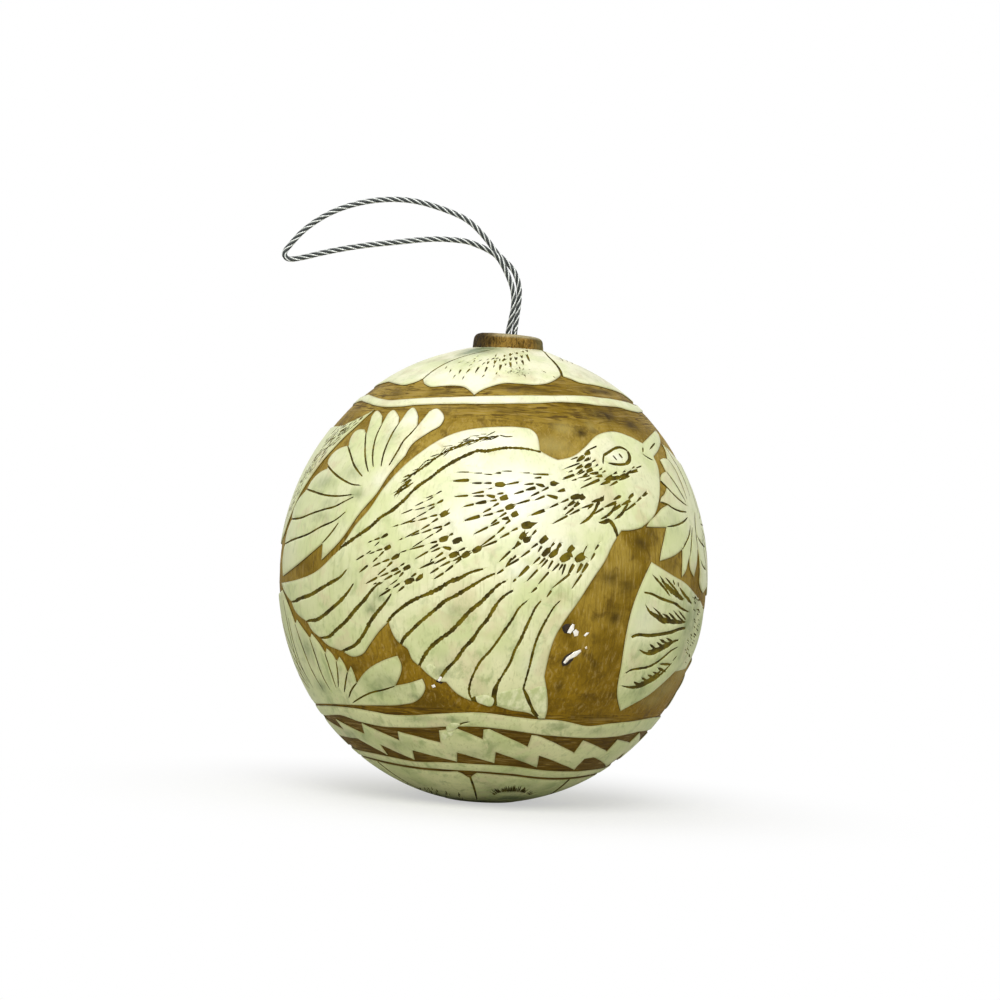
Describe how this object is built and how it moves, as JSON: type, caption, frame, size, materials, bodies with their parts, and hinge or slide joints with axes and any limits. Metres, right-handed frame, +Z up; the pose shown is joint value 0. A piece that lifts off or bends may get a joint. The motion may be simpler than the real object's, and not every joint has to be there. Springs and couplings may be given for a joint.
{
  "type": "carved gourd ornament",
  "caption": "Hollow round gourd carved with a bird, leaf fans, bands and zigzag in raised cream rind over brown ground, with a wooden stopper and a looped cord.",
  "frame": {"origin": "centre of the flat seat under the gourd", "axes": "+Z up the stem axis, -Y towards the front, where the bird is, +X to the right of the bird"},
  "size_m": [0.0827, 0.08, 0.1114],
  "materials": {
    "rind": "satin lacquer over sanded cream rind",
    "scraped_gourd": "scraped and stained brown",
    "stopper_wood": "raw fibrous wood",
    "glue": "dried glue",
    "cord": "twisted metallic thread"
  },
  "bodies": {
    "gourd": {"gourd_shell": "scraped_gourd", "stopper": "stopper_wood", "glue_seam": "glue", "crown_petals": "rind", "upper_band": "rind", "front_bird": "rind", "front_upper_fan": "rind", "front_lower_fan": "rind", "front_leaf": "rind", "left_rim_strip": "rind", "right_fan": "rind", "back_bird": "rind", "back_upper_fan": "rind", "back_lower_fan": "rind", "back_half_fan": "rind", "back_leaf": "rind", "lower_band": "rind", "zigzag_band": "rind", "base_ring": "rind", "base_petals": "rind"},
    "swivel": {"cord_legs": "cord", "cord_knot": "cord"},
    "loop": {"hanging_loop": "cord"}
  },
  "joints": [
    {"name": "loop_swivel", "type": "hinge", "parent": "gourd", "child": "swivel", "pos_m": [0.0008, 0, 0.0872], "axis": [0, 0, 1], "continuous": true},
    {"name": "loop_swing", "type": "hinge", "parent": "swivel", "child": "loop", "pos_m": [0.0008, 0, 0.08725], "axis": [1, 0, 0], "range_deg": [-75, 75]}
  ]
}
